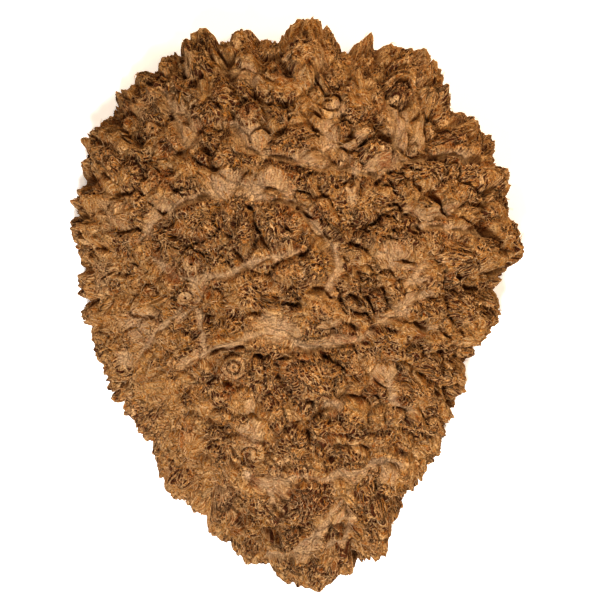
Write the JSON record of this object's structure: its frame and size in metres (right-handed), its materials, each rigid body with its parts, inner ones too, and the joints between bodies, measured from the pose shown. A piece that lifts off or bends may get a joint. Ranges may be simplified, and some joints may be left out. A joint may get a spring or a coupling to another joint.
{
  "type": "red box burl",
  "caption": "Bark-stripped natural-edge red box burl cap: a spiky domed lump of wood, egg-shaped in outline, sawn flat across its back.",
  "frame": {"origin": "bottom centre of the whole burl's box, on the sawn flat back", "axes": "+Z out of the domed growth side, away from the sawn back; +Y along the burl's long way, towards its broad end; +X to the right seen from the front with +Y up"},
  "size_m": [0.3047, 0.3848, 0.0966],
  "materials": {
    "burl_wood": "bare dry burl wood, matt, fibrous and spiky, with a sawn back"
  },
  "bodies": {
    "root": {"burl": "burl_wood"}
  },
  "joints": []
}
